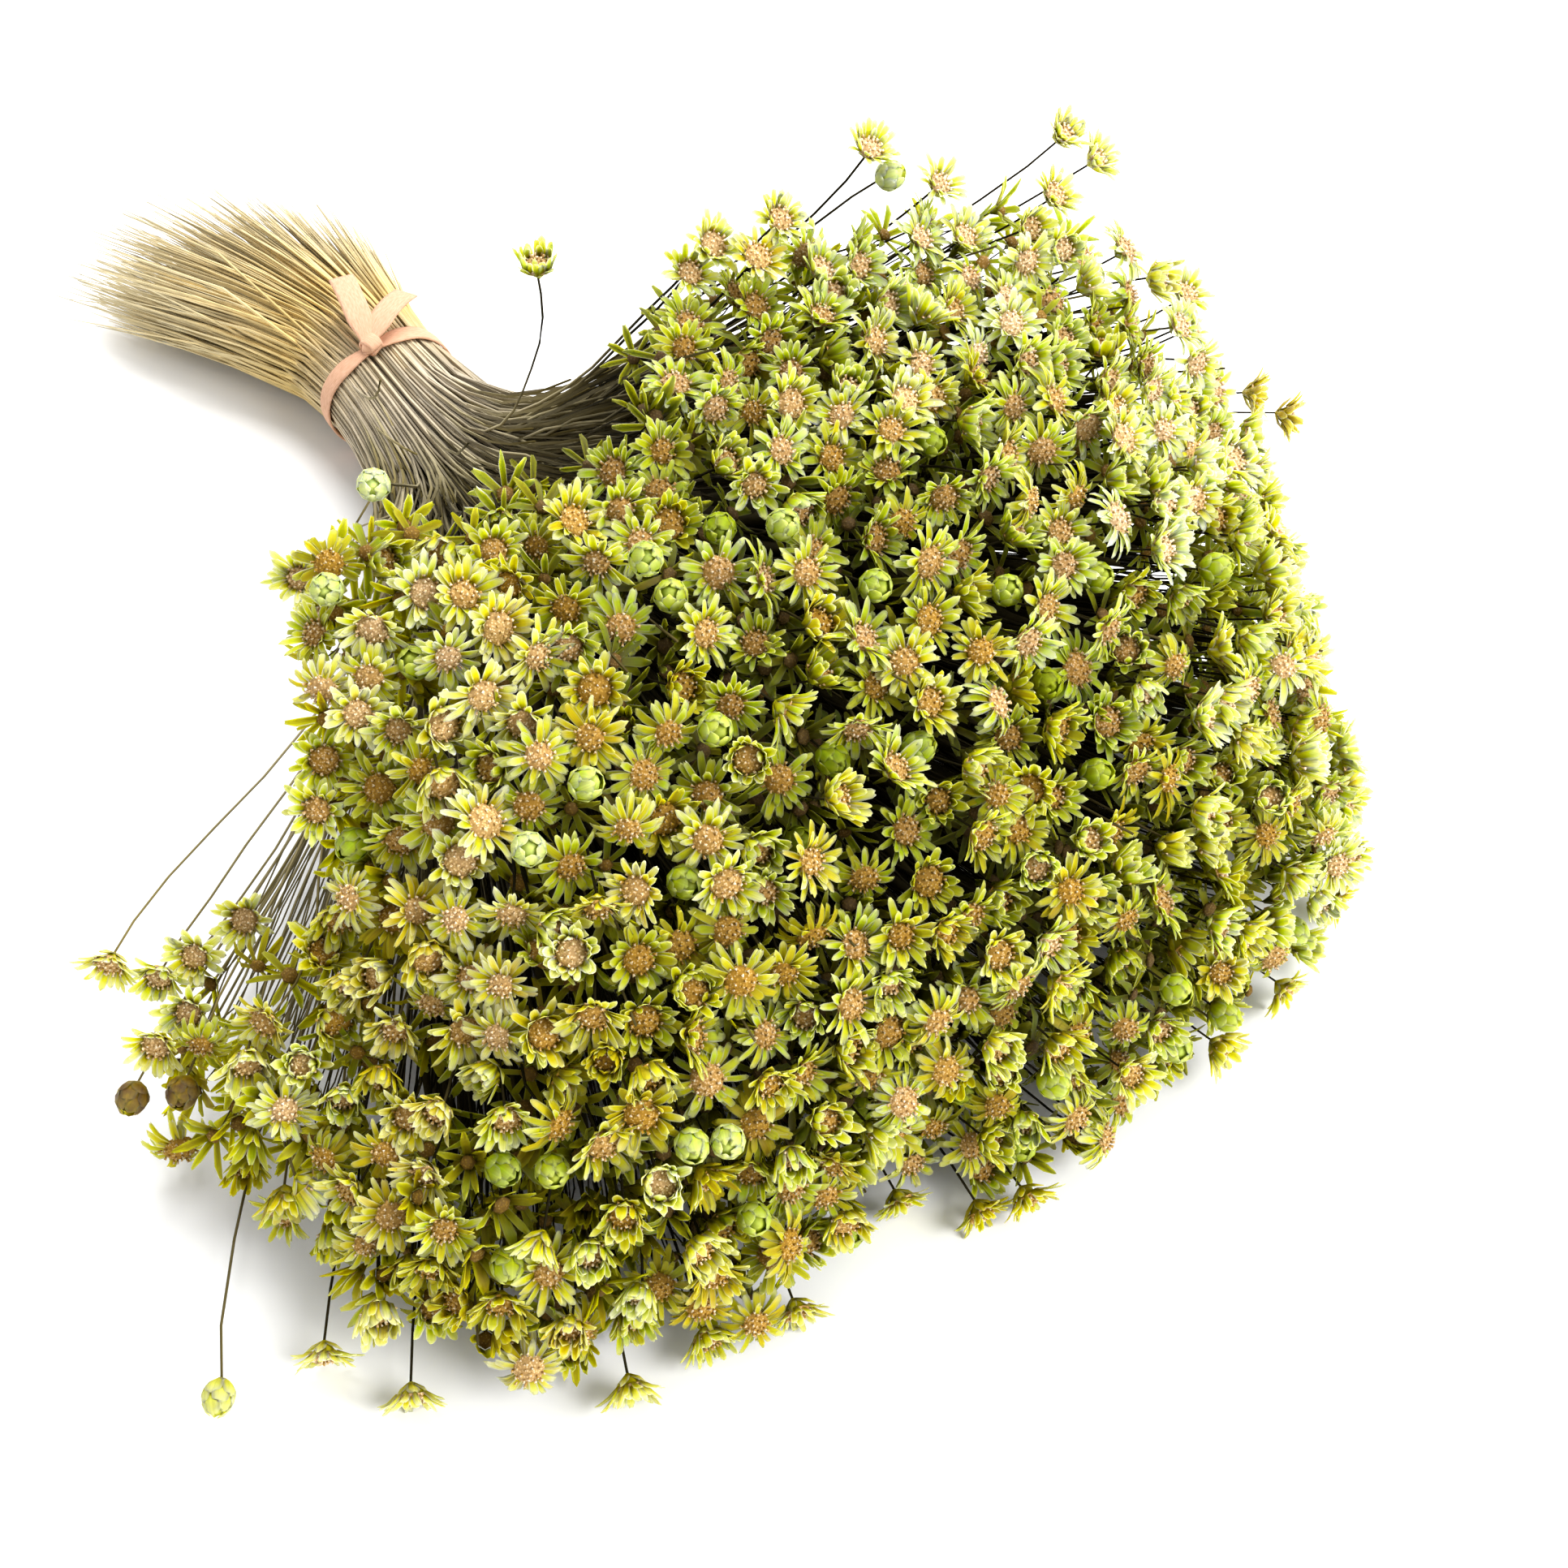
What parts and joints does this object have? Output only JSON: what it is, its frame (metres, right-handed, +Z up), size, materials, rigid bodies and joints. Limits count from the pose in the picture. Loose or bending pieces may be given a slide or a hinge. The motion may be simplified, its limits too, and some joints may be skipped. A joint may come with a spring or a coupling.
{
  "type": "tied bunch of dried rice flower",
  "caption": "Tied bunch of small dried papery star flowers on thin wiry stems, lying on its side, with cut straw ends behind a flat band.",
  "frame": {"origin": "on the surface the bunch lies on, under the middle of its outline seen from above", "axes": "+X from the cut ends to the blooms, +Z up, +Y to the left looking along +X"},
  "size_m": [0.2904, 0.2252, 0.0979],
  "materials": {
    "dried_flower": "dry papery petals and straw stems, lime green to straw yellow, matt",
    "tie": "flat pale peach paper band, matt"
  },
  "bodies": {
    "root": {"spray_row1_col1": "dried_flower", "spray_row1_col2": "dried_flower", "spray_row1_col3": "dried_flower", "spray_row1_col4": "dried_flower", "spray_row1_col5": "dried_flower", "spray_row1_col6": "dried_flower", "spray_row2_col1": "dried_flower", "spray_row2_col2": "dried_flower", "spray_row2_col3": "dried_flower", "spray_row2_col4": "dried_flower", "spray_row2_col5": "dried_flower", "spray_row2_col6": "dried_flower", "spray_row3_col1": "dried_flower", "spray_row3_col2": "dried_flower", "spray_row3_col3": "dried_flower", "spray_row3_col4": "dried_flower", "spray_row3_col5": "dried_flower", "spray_row3_col6": "dried_flower", "spray_row4_col1": "dried_flower", "spray_row4_col2": "dried_flower", "spray_row4_col3": "dried_flower", "spray_row4_col4": "dried_flower", "spray_row4_col5": "dried_flower", "spray_row4_col6": "dried_flower", "tie_band": "tie"}
  },
  "joints": []
}
